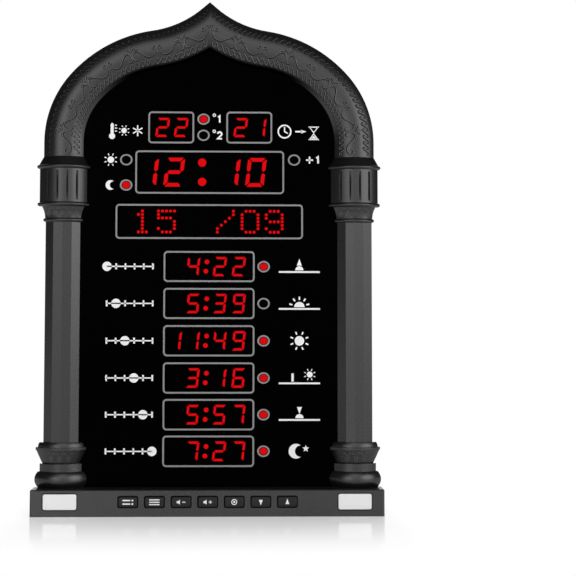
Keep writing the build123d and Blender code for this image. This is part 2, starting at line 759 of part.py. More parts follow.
# ---------------------------------------------------------------- speaker behind its grille
with BuildPart() as speaker:
    with BuildSketch(at_depth(speaker_seat_y)):
        with Locations(speaker_centre):
            Circle(speaker_radius)
        with Locations(*speaker_screw_points):
            Circle(speaker_ear_radius)
    extrude(amount=speaker_flange)
    flange_front_y = speaker_seat_y - speaker_flange
    magnet_y = speaker_seat_y - speaker_depth
    basket_height = speaker_depth - speaker_flange - magnet_height
    with BuildSketch(at_depth(flange_front_y)):
        with Locations(speaker_centre):
            Circle(speaker_radius - speaker_flange)
    with BuildSketch(at_depth(flange_front_y - basket_height)):
        with Locations(speaker_centre):
            Circle(magnet_radius)
    loft()
    discs([speaker_centre], magnet_radius, magnet_y + magnet_height, magnet_y)
    cone_plane = at_depth(speaker_seat_y)
    with BuildSketch(cone_plane):
        with Locations(speaker_centre):
            Circle(surround_radius)
    with BuildSketch(cone_plane.offset(cone_depth + cone_wall)):
        with Locations(speaker_centre):
            Circle(dust_cap_radius)
    loft(mode=Mode.SUBTRACT)
    discs(speaker_screw_points, screw_hole_radius, speaker_seat_y, flange_front_y, Mode.SUBTRACT)
finish("speaker", speaker)

with BuildPart() as speaker_cone:
    with BuildSketch(Plane(origin=(0, speaker_seat_y, speaker_z), x_dir=(1, 0, 0), z_dir=(0, 0, 1))):
        with BuildLine():
            neck = (dust_cap_radius, -cone_depth)
            rim_run = cone_wall * (surround_radius - dust_cap_radius) / (cone_depth + cone_wall)
            cap_crown = (0, -cone_depth / 2)
            cap_shoulder = (dust_cap_radius * 0.6, -cone_depth * 0.66)
            ThreePointArc(cap_crown, cap_shoulder, neck)
            Polyline(
                neck,
                (surround_radius - rim_run, 0),
                (surround_radius, 0),
                (dust_cap_radius, -cone_depth - cone_wall),
                (0, -cone_depth - cone_wall),
                cap_crown,
            )
        make_face()
    revolve(axis=Axis((0, speaker_seat_y, speaker_z), (0, 1, 0)))
finish("speaker_cone", speaker_cone)

with BuildPart() as speaker_screws:
    speaker_screw_length = speaker_flange + speaker_ring_height
    screws(speaker_screw_points, flange_front_y, *board_screw_head, speaker_screw_length, 1)
finish("speaker_screws", speaker_screws)


# ---------------------------------------------------------------- power inlet
with BuildPart() as dc_jack:
    discs([jack_centre], jack_flange_radius, back_y, jack_recess_y)
    discs([jack_centre], jack_barrel_radius, jack_recess_y, back_y - jack_barrel_length)
    discs([jack_centre], jack_bore_radius, back_y, back_y - jack_bore_depth, Mode.SUBTRACT)
finish("dc_jack", dc_jack)

with BuildPart() as jack_pin:
    pin_root_y = back_y - jack_bore_depth
    discs([jack_centre], jack_pin_radius, pin_root_y, pin_root_y + jack_pin_length)
    chamfer(jack_pin.faces().sort_by(Axis.Y)[-1].edges(), jack_pin_radius / 2)
finish("jack_pin", jack_pin)

with BuildPart() as jack_nut:
    with BuildSketch(at_depth(cover_floor_y)):
        with Locations(jack_centre):
            RegularPolygon(jack_nut_across / 2, 6, major_radius=False)
            Circle(jack_barrel_radius + thread_slack, mode=Mode.SUBTRACT)
    extrude(amount=jack_nut_thickness)
finish("jack_nut", jack_nut)


# ---------------------------------------------------------------- case screws and ribbon cable
with BuildPart() as case_screws:
    screws(case_screw_points, case_seat_y, *case_screw_head, case_screw_length, -1)
finish("case_screws", case_screws)

with BuildPart() as ribbon_cable:
    with BuildSketch(Plane.YZ):
        with BuildLine():
            FilletPolyline(
                (key_board_rear_y, button_z),
                (main_board_rear_y + ribbon_stand_off, button_z),
                (main_board_rear_y + ribbon_stand_off, main_board_low + ribbon_reach),
                (main_board_rear_y, main_board_low + ribbon_reach),
                radius=ribbon_bend,
            )
        trace(line_width=ribbon_thickness)
    extrude(amount=ribbon_width / 2, both=True)
finish("ribbon_cable", ribbon_cable)

os.makedirs("parts", exist_ok=True)
for name, solid in parts.items():
    export_step(solid, f"parts/{name}.step")
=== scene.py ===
"""Looks of the azan clock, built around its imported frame. Metres, +Z up, the front faces -Y."""
import json
from math import acos, atan2, ceil, cos, degrees, hypot, pi, radians, sin

import bmesh
import bpy
from mathutils import Matrix, Vector


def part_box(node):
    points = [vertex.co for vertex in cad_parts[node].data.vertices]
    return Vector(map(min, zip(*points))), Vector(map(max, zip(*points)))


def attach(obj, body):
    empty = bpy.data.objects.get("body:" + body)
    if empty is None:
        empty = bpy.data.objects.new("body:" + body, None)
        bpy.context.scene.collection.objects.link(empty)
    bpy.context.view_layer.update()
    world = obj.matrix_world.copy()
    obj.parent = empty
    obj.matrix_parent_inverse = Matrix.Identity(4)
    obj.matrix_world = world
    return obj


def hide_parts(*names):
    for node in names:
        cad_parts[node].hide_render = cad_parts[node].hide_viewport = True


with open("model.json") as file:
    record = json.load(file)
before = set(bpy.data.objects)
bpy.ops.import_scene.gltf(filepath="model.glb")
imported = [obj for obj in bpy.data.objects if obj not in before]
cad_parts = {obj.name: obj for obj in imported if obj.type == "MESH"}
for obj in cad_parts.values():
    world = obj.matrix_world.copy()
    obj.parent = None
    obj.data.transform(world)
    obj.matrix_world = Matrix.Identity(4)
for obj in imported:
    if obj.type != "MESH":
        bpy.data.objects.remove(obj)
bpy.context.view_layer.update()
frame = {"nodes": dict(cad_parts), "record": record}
scene = bpy.context.scene

MM = 0.001


def mm(*values):
    """Millimetres as a tuple of metres."""
    return tuple(value * MM for value in values)


# ------ places read from the frame
panel_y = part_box("front_panel")[0].y
base_front_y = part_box("base_housing")[0].y
arch_low, arch_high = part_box("arch_frame")
column_low, column_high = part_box("column_right")
button_count = 7

# ------ sizes of the looks
print_rise, segment_rise = mm(0.12, 0.10)   # printed and lit shapes stand this far out of the panel
print_shift = 0.57 * MM          # the print stands this far right of the case's middle

# a window's outline stands this far outside its display, sideways and up
frame_margins = {
    "temperature_display": mm(1.12, 1.1),
    "countdown_display": mm(1.18, 1.1),
    "time_display": mm(1.26, 1.53),
    "date_display": mm(2.0, 1.78),
}
row_margin = mm(1.25, 1.02)
frame_stroke, frame_corner = mm(1.45, 3.4)

ring_radius, ring_stroke, lens_radius = mm(5.45, 1.4, 3.35)
ring_squash = 0.91               # rings and lamps are a little flatter than round

# ogee arch: the arcs of its outer edge
shoulder_radius, reverse_radius, tip_run, stilt_height = mm(91.0, 88.0, 6.5, 13.4)
shoulder_angle, haunch_angle, tip_angle = 41.0, 81.4, 49.4
tube_half = 17.3 * MM
column_setback = 20.0 * MM       # turning axis of tube and columns behind the panel's face


# ------ mesh helpers
def link(name, builder, material, body="root", smooth=False):
    """Turns a bmesh into an object of its own that rides on a body."""
    mesh = bpy.data.meshes.new(name)
    bmesh.ops.recalc_face_normals(builder, faces=builder.faces)
    builder.to_mesh(mesh)
    builder.free()
    if smooth:
        for polygon in mesh.polygons:
            polygon.use_smooth = True
    mesh.materials.append(material)
    piece = bpy.data.objects.new(name, mesh)
    scene.collection.objects.link(piece)
    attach(piece, body)
    return piece


class Inlay:
    """Flat shapes on an upright face: closed plates between back_y and front_y, drawn in x and z."""

    def __init__(self, back_y, rise, shift=0.0):
        self.mesh = bmesh.new()
        self.back_y = back_y
        self.front_y = back_y - rise
        self.shift = shift

    def plate(self, outline):
        """Closed plate of any simple outline."""
        back = [self.mesh.verts.new((x + self.shift, self.back_y, z)) for x, z in outline]
        front = [self.mesh.verts.new((x + self.shift, self.front_y, z)) for x, z in outline]
        self.mesh.faces.new(front)
        self.mesh.faces.new(back[::-1])
        for i in range(len(outline)):
            j = (i + 1) % len(outline)
            self.mesh.faces.new((back[i], back[j], front[j], front[i]))

    def band(self, outer, inner, closed=True):
        """Closed plate between two outlines with as many points each."""
        rings = []
        for outline, y in ((outer, self.front_y), (inner, self.front_y), (inner, self.back_y), (outer, self.back_y)):
            rings.append([self.mesh.verts.new((x + self.shift, y, z)) for x, z in outline])
        count = len(outer)
        for i in range(count if closed else count - 1):
            j = (i + 1) % count
            for a, b in ((0, 1), (1, 2), (2, 3), (3, 0)):
                self.mesh.faces.new((rings[a][i], rings[a][j], rings[b][j], rings[b][i]))
        if not closed:
            for i in (0, -1):
                self.mesh.faces.new([ring[i] for ring in rings])

    def disc(self, centre, radius, steps=24, squash=1.0):
        self.plate(circle(centre, radius, steps, squash=squash))

    def ring(self, centre, radius, stroke, steps=32, squash=1.0):
        outer = circle(centre, radius, steps, squash=squash)
        inner = circle(centre, radius - stroke, steps, squash=squash)
        self.band(outer, inner)

    def bar(self, start, end, width):
        """Straight stroke between two points."""
        length = hypot(end[0] - start[0], end[1] - start[1])
        across = ((start[1] - end[1]) / length * width / 2, (end[0] - start[0]) / length * width / 2)
        corners = []
        for point, side in ((start, 1), (start, -1), (end, -1), (end, 1)):
            corners.append((point[0] + side * across[0], point[1] + side * across[1]))
        self.plate(corners)

    def star(self, centre, radius, points=5):
        outline = []
        for i in range(2 * points):
            reach = radius if i % 2 == 0 else radius * 0.42
            outline.append(turned(centre, reach, 90 + i * 180 / points))
        self.plate(outline)


def turned(point, radius, angle):
    """Point that lies at a radius and an angle from another."""
    return point[0] + radius * cos(radians(angle)), point[1] + radius * sin(radians(angle))


def circle(centre, radius, steps, start=0.0, sweep=360.0, squash=1.0):
    """Points round an arc; a whole circle doesn't repeat its first point."""
    closed = sweep >= 360
    points = []
    for i in range(steps if closed else steps + 1):
        angle = radians(start + sweep * i / steps)
        points.append((centre[0] + radius * cos(angle), centre[1] + squash * radius * sin(angle)))
    return points


def rounded_rectangle(low, high, corner, steps=6):
    """Outline of a rectangle with round corners, from its low and high (x, z)."""
    points = []
    corners = ((high[0], high[1], 0), (low[0], high[1], 90), (low[0], low[1], 180), (high[0], low[1], 270))
    for x, z, start in corners:
        inward_x = -corner if start in (0, 270) else corner
        inward_z = -corner if start in (0, 90) else corner
        points += circle((x + inward_x, z + inward_z), corner, steps, start, 90)
    return points


# ------ materials
def shader(name):
    material = bpy.data.materials.new(name)
    material.use_nodes = True
    tree = material.node_tree
    return material, tree, tree.nodes["Principled BSDF"]


def feed(node, inputs):
    """Gives a node its inputs, by name or number: each is a value or an output of another node."""
    for socket, source in inputs.items():
        if isinstance(source, bpy.types.NodeSocket):
            node.id_data.links.new(source, node.inputs[socket])
        else:
            node.inputs[socket].default_value = source


def add(tree, kind, **inputs):
    """New node of a kind, with some of its inputs by name."""
    node = tree.nodes.new(kind)
    feed(node, inputs)
    return node


def noise(tree, scale, detail):
    """Noise in the object's own coordinates, in cycles per metre."""
    place = add(tree, "ShaderNodeTexCoord")
    spot = place.outputs["Object"]
    return add(tree, "ShaderNodeTexNoise", Vector=spot, Scale=scale, Detail=detail, Roughness=0.55).outputs["Fac"]


def ramp(tree, value, stops):
    """Colour ramp from (position, colour) stops."""
    node = add(tree, "ShaderNodeValToRGB", Fac=value)
    elements = node.color_ramp.elements
    while len(elements) < len(stops):
        elements.new(0.5)
    for element, (position, colour) in zip(elements, stops):
        element.position = position
        element.color = (*colour, 1.0)
    return node.outputs["Color"]


def math_node(tree, operation, *values):
    """Result of a math node; each value is a number or a socket."""
    node = add(tree, "ShaderNodeMath")
    node.operation = operation
    feed(node, dict(enumerate(values)))
    return node.outputs[0]


def mix_shader(tree, share, first, second):
    node = add(tree, "ShaderNodeMixShader")
    feed(node, {0: share, 1: first, 2: second})
    return node.outputs[0]


def map_range(tree, value, source, target=(0.0, 1.0), easing="SMOOTHSTEP"):
    """Maps a value from one range to another and holds it at the ends."""
    node = add(tree, "ShaderNodeMapRange", Value=value)
    node.interpolation_type = easing
    feed(node, dict(zip(("From Min", "From Max", "To Min", "To Max"), (*source, *target))))
    return node.outputs["Result"]


noise_middle = (0.3, 0.7)        # most of a noise lies in this range


def uneven(tree, height, depth, edge):
    """Normal of a surface with a grain of some depth, its edges softly rounded."""
    grain = add(tree, "ShaderNodeBump", Strength=1.0, Distance=depth, Height=height)
    if edge:
        bevel = add(tree, "ShaderNodeBevel", Radius=edge)
        bevel.samples = 6
        feed(grain, {"Normal": bevel.outputs["Normal"]})
    return grain.outputs["Normal"]


def grained(name, tones, rough, grain=900.0, depth=0.02 * MM, edge=0.0, specular=0.5, metal=0.0):
    """Moulded or painted finish: tones drift over the piece, the grain and the gloss are uneven."""
    material, tree, surface = shader(name)
    grain_share, drift_share, drift_scale = 0.6, 0.4, 25.0
    tone_places = 0.34, 0.66
    speckle = noise(tree, grain, 4.0)
    drift = math_node(tree, "MULTIPLY", noise(tree, drift_scale, 2.0), drift_share)
    mixed = math_node(tree, "MULTIPLY_ADD", speckle, grain_share, drift)
    feed(surface, {
        "Base Color": ramp(tree, mixed, tuple(zip(tone_places, tones))),
        "Roughness": map_range(tree, speckle, noise_middle, rough, "LINEAR"),
        "Normal": uneven(tree, speckle, depth, edge),
        "Specular IOR Level": specular,
        "Metallic": metal,
    })
    return material


def lit(name, colour):
    """Lit lamp or segment: colour and glow vary a little, as over a diffuser."""
    material, tree, surface = shader(name)
    mottle = noise(tree, 1400.0, 2.0)
    dim_share, unlit_share = 0.88, 0.02
    dim, unlit = (tuple(channel * share for channel in colour) for share in (dim_share, unlit_share))
    feed(surface, {
        "Base Color": (*unlit, 1.0),
        "Emission Color": ramp(tree, mottle, ((0.35, dim), (0.6, colour))),
        "Emission Strength": 1.0,
        "Roughness": map_range(tree, mottle, noise_middle, (0.3, 0.45), "LINEAR"),
        "Specular IOR Level": 0.02,
    })
    return material


def paint_underside_shade(material, heights, facings, depths):
    """Paints shade into a finish: its colour and gloss fade to black where it is high enough, faces down and lies
    close to the panel, where an underside would fall into shadow.
    """
    tree = material.node_tree
    surface = tree.nodes["Principled BSDF"]
    coordinates = add(tree, "ShaderNodeTexCoord")
    shade = 1.0
    for source, axis, reach in (("Object", "Y", depths), ("Object", "Z", heights), ("Normal", "Z", facings)):
        split = add(tree, "ShaderNodeSeparateXYZ", Vector=coordinates.outputs[source])
        shade = math_node(tree, "MULTIPLY", shade, map_range(tree, split.outputs[axis], reach))
    kept = math_node(tree, "SUBTRACT", 1.0, shade)
    colour = add(tree, "ShaderNodeVectorMath")
    colour.operation = "SCALE"
    feed(colour, {0: surface.inputs["Base Color"].links[0].from_socket, "Scale": kept})
    gloss = surface.inputs["Specular IOR Level"].default_value
    feed(surface, {"Base Color": colour.outputs[0], "Specular IOR Level": math_node(tree, "MULTIPLY", kept, gloss)})


def greys(dark, light, dark_blue=None, light_blue=None):
    """Two greys; the blue of each can be set apart."""
    return (dark, dark, dark_blue or dark), (light, light, light_blue or light)


frame_black = greys(0.002, 0.005, 0.0021, 0.0053)
frame_plastic, arch_plastic_painted_shade = (
    grained(name, frame_black, (0.24, 0.33), grain=1500.0, depth=0.006 * MM, edge=0.4 * MM, specular=0.56)
    for name in ("frame_plastic", "arch_plastic_painted_shade")
)
# painted shade: the arch's finish is darkened to black on its underside near the panel, standing in for its shadow
paint_underside_shade(
    arch_plastic_painted_shade, heights=mm(352, 384), facings=(-0.05, -0.3), depths=(panel_y - 3.9 * MM, panel_y - 1.3 * MM),
)
# painted shade: near-black finish for strips and bands laid where shadow falls, beside ridges, in the plates' gaps
# and in the flutes
painted_shadow_plastic = grained("painted_shadow_plastic", greys(0.0012, 0.003), (0.55, 0.7), grain=1500.0, specular=0.12)
# painted highlight: the relief is moulded in the frame's own plastic, but its ridges are coloured far lighter so
# that they read as lit
relief_painted_highlight = grained(
    "relief_painted_highlight", greys(0.07, 0.11, 0.071, 0.112), (0.3, 0.45), grain=1500.0, depth=0.01 * MM,
)
cone_matte = grained(
    "cone_matte", frame_black, (0.4, 0.5), grain=1500.0, depth=0.012 * MM, edge=0.3 * MM, specular=0.12,
)
button_plastic = grained(
    "button_plastic", greys(0.004, 0.009, 0.0042, 0.0095), (0.28, 0.4), grain=1600.0,
    depth=0.01 * MM, edge=0.7 * MM, specular=0.24,
)
white_ink = grained("white_ink", greys(0.80, 0.93), (0.45, 0.6), grain=1800.0, depth=0.006 * MM)
grey_ink = grained("grey_ink", greys(0.20, 0.27), (0.45, 0.6), grain=1800.0, depth=0.006 * MM)
lit_red = lit("lit_red", (0.73, 0.002, 0.004))
lamp_red = lit("lamp_red", (0.66, 0.002, 0.004))

finish_of_slot = {
    "frame_plastic": frame_plastic,
    "button_plastic": button_plastic,
    "base_plastic": grained(
        "base_plastic", greys(0.010, 0.022, 0.0105, 0.023), (0.2, 0.28), grain=1500.0,
        depth=0.006 * MM, edge=0.4 * MM,
    ),
    "panel_acrylic": grained(
        "black_acrylic", greys(0.0002, 0.0005), (0.06, 0.12), grain=160.0,
        depth=0.001 * MM, edge=0.2 * MM, specular=0.004,
    ),
    "plate_plastic": grained(
        "plate_plastic", greys(0.80, 0.90), (0.35, 0.5), grain=1100.0, depth=0.03 * MM, edge=0.3 * MM,
    ),
    "cover_plastic": grained(
        "cover_plastic", greys(0.014, 0.028, 0.015, 0.030), (0.42, 0.6), grain=1100.0,
        depth=0.06 * MM, edge=0.6 * MM,
    ),
    "circuit_board": grained(
        "board_laminate", ((0.010, 0.085, 0.030), (0.018, 0.14, 0.052)), (0.3, 0.5), grain=700.0,
    ),
    "display_module": grained("display_case", greys(0.012, 0.028), (0.4, 0.6), grain=800.0),
    "led_lens": grained(
        "led_resin", ((0.32, 0.01, 0.01), (0.48, 0.02, 0.02)), (0.1, 0.2), grain=600.0, depth=0.004 * MM,
    ),
    "black_component": grained("dark_part", greys(0.010, 0.022), (0.35, 0.55)),
    "steel": grained(
        "screw_steel", greys(0.42, 0.62, 0.43, 0.63), (0.25, 0.42), grain=1300.0,
        depth=0.01 * MM, edge=0.2 * MM, metal=1.0,
    ),
    "speaker_steel": grained(
        "speaker_plate", greys(0.30, 0.48, 0.31, 0.49), (0.3, 0.5), grain=500.0,
        depth=0.01 * MM, edge=0.3 * MM, metal=1.0,
    ),
    "cone_paper": grained(
        "cone_paper", ((0.020, 0.019, 0.018), (0.055, 0.052, 0.050)), (0.8, 0.95), grain=2200.0, depth=0.08 * MM,
    ),
    "brass_pin": grained(
        "brass", ((0.72, 0.50, 0.20), (0.86, 0.62, 0.28)), (0.2, 0.35), depth=0.005 * MM, metal=1.0,
    ),
    "ribbon": grained("cable_sheath", greys(0.26, 0.42, 0.27, 0.43), (0.45, 0.6)),
}
slot_of_node = {entry["node"]: entry["material_slot"] for entry in frame["record"]["subparts"]}
for name, node in frame["nodes"].items():
    finish = arch_plastic_painted_shade if name == "arch_frame" else finish_of_slot[slot_of_node[name]]
    for material_slot in node.material_slots:
        material_slot.material = finish


# ------ window outlines and lamp rings
def centre_of(node):
    low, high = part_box(node)
    return (low.x + high.x) / 2, (low.z + high.z) / 2


row_nodes = [f"row_display_{number}" for number in range(1, 7)]
# how far each window's print stands from the middle of its display
print_offsets = {
    "temperature_display": mm(0.0, -0.65),
    "countdown_display": mm(0.2, -0.5),
    "time_display": mm(-0.18, -0.45),
    "date_display": mm(-0.36, -0.43),
}
row_print_x, row_print_step = mm(-0.4, -0.045)
for node, rise in zip(row_nodes, mm(-0.05, -0.03, -0.2, -0.2, 0.38, 1.1)):
    print_offsets[node] = (row_print_x + row_print_step * int(node[-1]), rise)


def window_of(node):
    """Middle of a window as printed on the panel."""
    x, z = centre_of(node)
    across, up = print_offsets[node]
    return x + across, z + up


row_heights = [window_of(node)[1] for node in row_nodes]


def on_panel(rise):
    return Inlay(panel_y, rise, print_shift)


outlines = on_panel(print_rise)
for node in print_offsets:
    low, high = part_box(node)
    across, up = print_offsets[node]
    margin_x, margin_z = frame_margins.get(node, row_margin)
    outer_low = (low.x + across - margin_x, low.z + up - margin_z)
    outer_high = (high.x + across + margin_x, high.z + up + margin_z)
    inner_low = tuple(value + frame_stroke for value in outer_low)
    inner_high = tuple(value - frame_stroke for value in outer_high)
    outlines.band(
        rounded_rectangle(outer_low, outer_high, frame_corner),
        rounded_rectangle(inner_low, inner_high, frame_corner - frame_stroke),
    )
link("window_outlines", outlines.mesh, grey_ink)

unit_x, unit_z = -5.8 * MM, mm(343.6, 329.3)
half_day_x, half_day_z = -73.4 * MM, mm(307.4, 285.1)
summer_x, summer_z = mm(73.9, 307.75)
row_lamp_x = 47.2 * MM
lit_lamps = [(unit_x, unit_z[0]), (half_day_x, half_day_z[1])]
dark_lamps = [(unit_x, unit_z[1]), (half_day_x, half_day_z[0]), (summer_x, summer_z)]
for number, height in enumerate(row_heights):
    (dark_lamps if number == 1 else lit_lamps).append((row_lamp_x, height))

rings, lamps = on_panel(print_rise), on_panel(segment_rise)
for centre in lit_lamps + dark_lamps:
    rings.ring(centre, ring_radius, ring_stroke, 40, ring_squash)
for centre in lit_lamps:
    lamps.disc(centre, lens_radius, 32, ring_squash)
link("lamp_rings", rings.mesh, grey_ink)
link("lit_lamps", lamps.mesh, lamp_red)


# ------ seven-segment figures
SEGMENTS = {
    "0": "abcdef", "1": "bc", "2": "abged", "3": "abgcd", "4": "fgbc",
    "5": "afgcd", "6": "afgedc", "7": "abc", "8": "abcdefg", "9": "abfgcd",
}
slant = 0.115                    # sideways lean per height
corner_reach, joint_drop = 0.4, 0.2   # of half a stroke, where two segments meet


def segment_outline(letter, width, height, stroke, gap):
    """Outline of one segment in a cell centred on the origin, before the lean."""
    left, right, top = stroke / 2 - width / 2, width / 2 - stroke / 2, height / 2 - stroke / 2
    half = stroke / 2
    if letter in "adg":
        z = {"a": top, "d": -top, "g": 0.0}[letter]
        start, end = left + gap, right - gap
        if letter == "g":
            return [(start, z), (start + half, z + half), (end - half, z + half),
                    (end, z), (end - half, z - half), (start + half, z - half)]
        out = half if letter == "a" else -half
        corner, joint = half * corner_reach, out * joint_drop
        return [(start - corner, z + out), (end + corner, z + out), (end, z + joint),
                (end - half, z - out), (start + half, z - out), (start, z + joint)]
    x, side = (right, half) if letter in "bc" else (left, -half)
    up = 1 if letter in "bf" else -1
    near, far = up * gap, up * (top - gap)
    corner_x, corner_z = x + side * corner_reach, far + up * half * corner_reach
    return [(x, near), (x + side, near + up * half), (x + side, corner_z), (corner_x, corner_z),
            (x - side, far - up * half), (x - side, near + up * half)]


def figures(name, centre, cells, size, stroke, colon=None):
    """One display's lit figures: (offset, digit) cells, and a colon's offset, rise, dot radius and lean."""
    art = on_panel(segment_rise)
    width, height = size
    lean = height * slant
    gap = stroke * 0.16
    for offset, digit in cells:
        for letter in SEGMENTS[digit]:
            shape = segment_outline(letter, width - lean, height, stroke, gap)
            art.plate([(centre[0] + offset + x + z * slant, centre[1] + z) for x, z in shape])
    if colon:
        offset, rise, radius, colon_lean = colon
        for side in (-1, 1):
            dot_x = centre[0] + offset + side * rise * colon_lean
            art.disc((dot_x, centre[1] + side * rise), radius)
    link(name, art.mesh, lit_red)


small_size, small_stroke = mm(13.1, 16.95), 2.0 * MM
small_cells = mm(-7.5, 8.8)
for use, shown in (("temperature", "22"), ("countdown", "21")):
    figures(f"{use}_figures", window_of(f"{use}_display"), zip(small_cells, shown), small_size, small_stroke)

time_size, time_stroke = mm(19.3, 25.5), 3.25 * MM
time_cells = mm(-54.0, -31.2, 17.65, 40.5)
time_colon = (*mm(-6.7, 8.5, 3.65), 0.0)
figures("time_figures", window_of("time_display"), zip(time_cells, "1210"), time_size, time_stroke, time_colon)

row_size = mm(12.7, 16.95)
row_cells = mm(-29.5, -13.9, 9.4, 26.0)
row_colon = (*mm(-2.4, 4.1, 2.05), slant)
row_times = (" 422", " 539", "1149", " 316", " 557", " 727")
for node, shown in zip(row_nodes, row_times):
    cells = [(offset, digit) for offset, digit in zip(row_cells, shown) if digit != " "]
    figures(f"row_figures_{node[-1]}", window_of(node), cells, row_size, small_stroke, row_colon)

# ------ dot-matrix date
DOTS = {
    "0": ".###. #...# #...# #...# #...# #...# .###.",
    "1": "..#.. .##.. ..#.. ..#.. ..#.. ..#.. .###.",
    "5": "##### #.... ####. ....# ....# #...# .###.",
    "9": ".###. #...# #...# .#### ....# #...# .###.",
    "/": "....# ....# ...#. ..#.. .#... #.... #....",
}
dot_pitch_x, dot_pitch_z, dot_radius = mm(3.5, 3.07, 1.3)
date_cells = zip(mm(-65.6, -44.6, 7.0, 28.6, 49.8), "15/09")
date_art = on_panel(segment_rise)
date_x, date_z = window_of("date_display")
for offset, digit in date_cells:
    for row, line in enumerate(DOTS[digit].split()):
        for column, mark in enumerate(line):
            if mark == "#":
                dot_x = date_x + offset + column * dot_pitch_x
                date_art.disc((dot_x, date_z + (3 - row) * dot_pitch_z), dot_radius, steps=12)
link("date_figures", date_art.mesh, lit_red)


# ------ printed marks on the panel
def ribbon(art, points, width):
    """Bent stroke of even width, mitred at its corners."""
    left, right = [], []
    for i, point in enumerate(points):
        before = points[max(i - 1, 0)]
        after = points[min(i + 1, len(points) - 1)]
        into = Vector((point[0] - before[0], point[1] - before[1]))
        out = Vector((after[0] - point[0], after[1] - point[1]))
        into = into.normalized() if into.length else out.normalized()
        out = out.normalized() if out.length else into
        along = (into + out).normalized()
        reach = width / 2 / max(along.dot(into), 0.5)
        left.append((point[0] - along.y * reach, point[1] + along.x * reach))
        right.append((point[0] + along.y * reach, point[1] - along.x * reach))
    art.band(left, right, closed=False)


def sun(art, centre, radius, rays=8, start=0.0, sweep=360.0):
    """Disc, or part of one that stands on its flat side, with rays around it."""
    art.plate(circle(centre, radius, 20, start, sweep))
    for i in range(rays):
        angle = start + sweep * (i + 0.5) / rays
        art.bar(turned(centre, 1.4 * radius, angle), turned(centre, 2.0 * radius, angle), radius * 0.3)


def crescent(art, centre, radius):
    horn_angle, bite = 50, radius * 0.62
    horn = turned((-bite, 0.0), radius, horn_angle)
    bite_angle = degrees(atan2(horn[1], horn[0]))
    outer = circle(centre, radius, 24, horn_angle, 360 - 2 * horn_angle)
    inner = circle((centre[0] + bite, centre[1]), hypot(*horn), 24, bite_angle, 360 - 2 * bite_angle)
    art.band(outer, inner, closed=False)


def numeral(art, digit, centre, height, stroke):
    """Plain rounded 1 or 2."""
    x, z = centre
    half = height / 2 - stroke / 2
    if digit == "1":
        ribbon(art, [(x - height * 0.2, z + half * 0.55), (x, z + half), (x, z - half)], stroke)
        return
    bowl = height * 0.24
    curve = circle((x, z + half - bowl), bowl, 10, 170, -200)
    ribbon(art, curve + [(x - bowl, z - half), (x + bowl * 1.15, z - half)], stroke)


def arrow_head(art, tip, size, angle):
    art.plate([turned(tip, size, angle + turn) for turn in (0, 140, 220)])


def day_scale(art, centre, place):
    """Six ticks on a line, the one at place carried by a bead."""
    width, tick = mm(40, 5.2)
    first_x = centre[0] - width / 2
    art.bar((first_x, centre[1]), (first_x + width, centre[1]), 1.1 * MM)
    for i in range(6):
        x = first_x + width * i / 5
        if i == place:
            art.disc((x, centre[1]), 4.1 * MM)
        else:
            art.bar((x, centre[1] - tick / 2), (x, centre[1] + tick / 2), 1.5 * MM)


def hour_picture(art, centre, place):
    """Where the sun or moon stands at each of the six daily times."""
    x, z = centre
    ground = z - 4.6 * MM
    line, ground_half = mm(1.5, 18)
    if place in (0, 1, 3, 4):
        art.bar((x - ground_half, ground), (x + ground_half, ground), line)
    if place in (0, 4):
        art.plate(circle((x, ground + line), 3.6 * MM, 16, 0, 180))
        tip, angle = (3.6 * MM, 90) if place == 0 else (4.0 * MM, -90)
        arrow_head(art, (x, z + tip), 3.4 * MM, angle)
    elif place == 1:
        sun(art, (x, ground + line), 4.6 * MM, rays=5, start=0, sweep=180)
    elif place == 2:
        sun(art, (x, z), 4.2 * MM)
    elif place == 3:
        sun(art, (x + 9 * MM, z + 3.0 * MM), 2.6 * MM)
        art.bar((x - 6 * MM, ground + line), (x - 6 * MM, z + 4 * MM), 2.0 * MM)
    else:
        crescent(art, (x - 3 * MM, z), 6.4 * MM)
        art.star((x + 5.5 * MM, z + 2.2 * MM), 3.2 * MM)


row_label_x, row_picture_x = mm(-69.5, 78.5)
marks = on_panel(print_rise)
for place, height in enumerate(row_heights):
    day_scale(marks, (row_label_x, height), place)
    hour_picture(marks, (row_picture_x, height), place)
link("hour_marks", marks.mesh, white_ink)

head_marks = on_panel(print_rise)
small_z = window_of("temperature_display")[1]
# thermometer, warm and cold signs
stem_x, stem_z = -86.0 * MM, small_z - 3.7 * MM
stem = circle((stem_x, stem_z + 6.0 * MM), 1.3 * MM, 10, 0, 180)
bulb = circle((stem_x, stem_z - 4.2 * MM), 2.7 * MM, 18, 120, 300)
head_marks.plate(stem + bulb)
for tick_z in (stem_z + rise for rise in mm(5.4, 2.8, 0.2)):
    head_marks.bar((stem_x + 2.3 * MM, tick_z), (stem_x + 4.3 * MM, tick_z), 0.9 * MM)
sign_z = small_z - 3.0 * MM
sun(head_marks, (-75.5 * MM, sign_z), 2.4 * MM)
flake_x, flake_reach = mm(-63.6, 4.8)
for angle in (30, 90, 150):
    ends = [turned((flake_x, sign_z), reach, angle) for reach in (-flake_reach, flake_reach)]
    head_marks.bar(*ends, 1.1 * MM)
